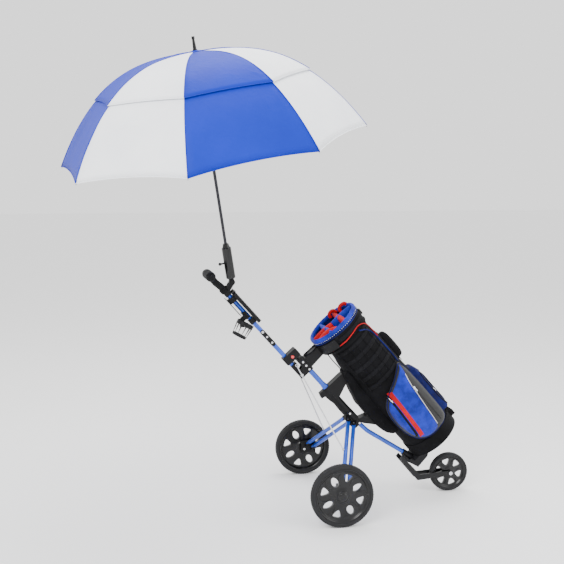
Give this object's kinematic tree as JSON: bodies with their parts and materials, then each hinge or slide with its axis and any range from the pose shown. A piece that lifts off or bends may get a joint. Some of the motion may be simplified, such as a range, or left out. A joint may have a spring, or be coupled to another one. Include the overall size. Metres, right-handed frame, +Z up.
{
  "type": "golf bag on push cart",
  "caption": "Three-wheeled folding golf push cart with a golf bag strapped to it, a drink holder, a card console and an open vented umbrella.",
  "frame": {"origin": "on the ground, midway between the two rear wheels, below their axle line", "axes": "+X forward to the front wheel, +Y to the cart's left, +Z up"},
  "size_m": [1.9733, 1.3169, 2.1664],
  "materials": {
    "blue_metal": "satin metallic paint",
    "black_plastic": "fine moulded grain",
    "fork_metal": "black powder coat",
    "bright_steel": "bright zinc",
    "link_metal": "satin black coat",
    "shaft_metal": "smooth dark coat",
    "red_plastic": "gloss",
    "soft_grip": "matt soft touch",
    "smoked_plastic": "clear, tinted",
    "umbrella_plastic": "satin",
    "canopy_cloth": "tight smooth weave",
    "wheel_plastic": "semi-gloss",
    "tyre_foam": "matt",
    "bag_blue": "coated weave",
    "bag_black": "woven, quilted",
    "bag_red": "padded",
    "zip_metal": "bright"
  },
  "bodies": {
    "frame": {"main_tube": "blue_metal", "hub_block": "black_plastic", "front_tube": "blue_metal", "fold_bracket": "black_plastic", "upper_saddle": "black_plastic", "bag_strap": "bag_black", "support_brace": "black_plastic", "lower_bracket": "black_plastic", "front_fork": "fork_metal", "front_axle": "bright_steel", "frame_pins": "bright_steel", "bag_shell": "bag_blue", "bag_rim": "bag_blue", "bag_dividers": "bag_red", "bag_base": "black_plastic", "front_pouch": "bag_blue", "back_pad": "bag_black", "grab_handle": "bag_black", "side_pocket_left": "bag_black", "side_pocket_right": "bag_black"},
    "front_wheel": {"front_disc": "wheel_plastic", "front_tyre": "tyre_foam"},
    "handle_lower": {"handle_lug": "black_plastic", "handle_tube_lower": "blue_metal", "clamp_block": "black_plastic", "link_plates": "link_metal", "link_pins": "bright_steel"},
    "fold_button": {"fold_button": "red_plastic"},
    "handle_upper": {"handle_tube_upper": "blue_metal", "grip": "soft_grip", "console_tray": "black_plastic", "cup_bracket": "black_plastic", "holder_base": "black_plastic"},
    "console_lid": {"console_lid": "smoked_plastic"},
    "drink_holder": {"cup_holder": "black_plastic"},
    "umbrella_holder": {"holder_body": "black_plastic"},
    "holder_screw": {"holder_screw": "black_plastic"},
    "umbrella": {"umbrella_shaft": "shaft_metal", "umbrella_ferrule": "umbrella_plastic", "umbrella_runner": "umbrella_plastic", "umbrella_ribs": "bright_steel", "umbrella_stretchers": "bright_steel", "canopy": "canopy_cloth", "vent_canopy": "canopy_cloth"},
    "zip_pull": {"zip_pull": "zip_metal"},
    "leg_left_upper": {"leg_left_upper": "blue_metal"},
    "leg_left_lower": {"leg_left_lower": "blue_metal"},
    "wheel_bracket_left": {"wheel_bracket_left": "black_plastic", "rear_axle_left": "bright_steel"},
    "rear_wheel_left": {"rear_disc_left": "wheel_plastic", "rear_tyre_left": "tyre_foam"},
    "fold_rod_left": {"fold_rod_left": "bright_steel"},
    "leg_right_upper": {"leg_right_upper": "blue_metal"},
    "leg_right_lower": {"leg_right_lower": "blue_metal"},
    "wheel_bracket_right": {"wheel_bracket_right": "black_plastic", "rear_axle_right": "bright_steel"},
    "rear_wheel_right": {"rear_disc_right": "wheel_plastic", "rear_tyre_right": "tyre_foam"},
    "fold_rod_right": {"fold_rod_right": "bright_steel"}
  },
  "joints": [
    {"name": "handle_fold", "type": "hinge", "parent": "frame", "child": "handle_lower", "pos_m": [-0.10398, 0, 0.6236], "axis": [0, -1, 0], "range_deg": [0, 60]},
    {"name": "front_wheel_spin", "type": "hinge", "parent": "frame", "child": "front_wheel", "pos_m": [0.66, 0, 0.097], "axis": [0, 1, 0], "continuous": true},
    {"name": "fold_button_press", "type": "slide", "parent": "handle_lower", "child": "fold_button", "axis": [0, 1, 0], "range_m": [0, 0.004], "stiffness_N_per_m": 300},
    {"name": "handle_tilt", "type": "hinge", "parent": "handle_lower", "child": "handle_upper", "pos_m": [-0.29535, 0, 0.83614], "axis": [0, 1, 0], "range_deg": [-25, 25]},
    {"name": "console_lid_hinge", "type": "hinge", "parent": "handle_upper", "child": "console_lid", "pos_m": [-0.43283, 0, 1.03665], "axis": [0, -1, 0], "range_deg": [0, 100]},
    {"name": "drink_holder_tilt", "type": "hinge", "parent": "handle_upper", "child": "drink_holder", "pos_m": [-0.398, -0.024, 0.896], "axis": [0, 1, 0], "range_deg": [-30, 30]},
    {"name": "umbrella_tilt", "type": "hinge", "parent": "handle_upper", "child": "umbrella_holder", "pos_m": [-0.442, 0, 1.076], "axis": [0, 1, 0], "range_deg": [-15, 30]},
    {"name": "holder_screw_turn", "type": "hinge", "parent": "umbrella_holder", "child": "holder_screw", "pos_m": [-0.45909, -0.01469, 1.16932], "axis": [0.9836, 0, 0.1801], "range_deg": [0, 360]},
    {"name": "umbrella_lift", "type": "slide", "parent": "umbrella_holder", "child": "umbrella", "axis": [-0.178, -0.153, 0.9721], "range_m": [0, 0.13]},
    {"name": "zip_slide", "type": "slide", "parent": "frame", "child": "zip_pull", "axis": [0.6691, 0, -0.7431], "range_m": [0, 0.2]},
    {"name": "leg_left_swing", "type": "hinge", "parent": "frame", "child": "leg_left_upper", "pos_m": [0.12746, 0.026, 0.39197], "axis": [-0.2047, 0.5349, 0.8197], "range_deg": [-13.04, 0]},
    {"name": "leg_left_twin_swing", "type": "hinge", "parent": "frame", "child": "leg_left_lower", "pos_m": [0.15546, 0.026, 0.37197], "axis": [-0.2047, 0.5349, 0.8197], "range_deg": [-13.04, 0]},
    {"name": "wheel_bracket_left_turn", "type": "hinge", "parent": "leg_left_upper", "child": "wheel_bracket_left", "pos_m": [0.018, 0.312, 0.178], "axis": [-0.2047, 0.5349, 0.8197], "range_deg": [0, 13.04]},
    {"name": "rear_wheel_left_spin", "type": "hinge", "parent": "wheel_bracket_left", "child": "rear_wheel_left", "pos_m": [0, 0.36, 0.145], "axis": [0, 1, 0], "continuous": true},
    {"name": "fold_rod_left_turn", "type": "hinge", "parent": "handle_lower", "child": "fold_rod_left", "pos_m": [-0.13186, 0.0226, 0.6725], "axis": [0.0229, 0.9255, 0.3782], "range_deg": [0, 45.33]},
    {"name": "leg_right_swing", "type": "hinge", "parent": "frame", "child": "leg_right_upper", "pos_m": [0.12746, -0.026, 0.39197], "axis": [-0.2047, -0.5349, 0.8197], "range_deg": [0, 13.04]},
    {"name": "leg_right_twin_swing", "type": "hinge", "parent": "frame", "child": "leg_right_lower", "pos_m": [0.15546, -0.026, 0.37197], "axis": [-0.2047, -0.5349, 0.8197], "range_deg": [0, 13.04]},
    {"name": "wheel_bracket_right_turn", "type": "hinge", "parent": "leg_right_upper", "child": "wheel_bracket_right", "pos_m": [0.018, -0.312, 0.178], "axis": [-0.2047, -0.5349, 0.8197], "range_deg": [-13.04, 0]},
    {"name": "rear_wheel_right_spin", "type": "hinge", "parent": "wheel_bracket_right", "child": "rear_wheel_right", "pos_m": [0, -0.36, 0.145], "axis": [0, 1, 0], "continuous": true},
    {"name": "fold_rod_right_turn", "type": "hinge", "parent": "handle_lower", "child": "fold_rod_right", "pos_m": [-0.13186, -0.0226, 0.6725], "axis": [-0.0229, 0.9255, -0.3782], "range_deg": [0, 45.33]}
  ],
  "couplings": [
    {"joint": "leg_left_swing", "follows": "handle_fold", "ratio": -0.21651},
    {"joint": "leg_left_twin_swing", "follows": "handle_fold", "ratio": -0.21651},
    {"joint": "wheel_bracket_left_turn", "follows": "handle_fold", "ratio": 0.21651},
    {"joint": "fold_rod_left_turn", "follows": "handle_fold", "ratio": 0.75461},
    {"joint": "leg_right_swing", "follows": "handle_fold", "ratio": 0.21651},
    {"joint": "leg_right_twin_swing", "follows": "handle_fold", "ratio": 0.21651},
    {"joint": "wheel_bracket_right_turn", "follows": "handle_fold", "ratio": -0.21651},
    {"joint": "fold_rod_right_turn", "follows": "handle_fold", "ratio": 0.75461}
  ]
}
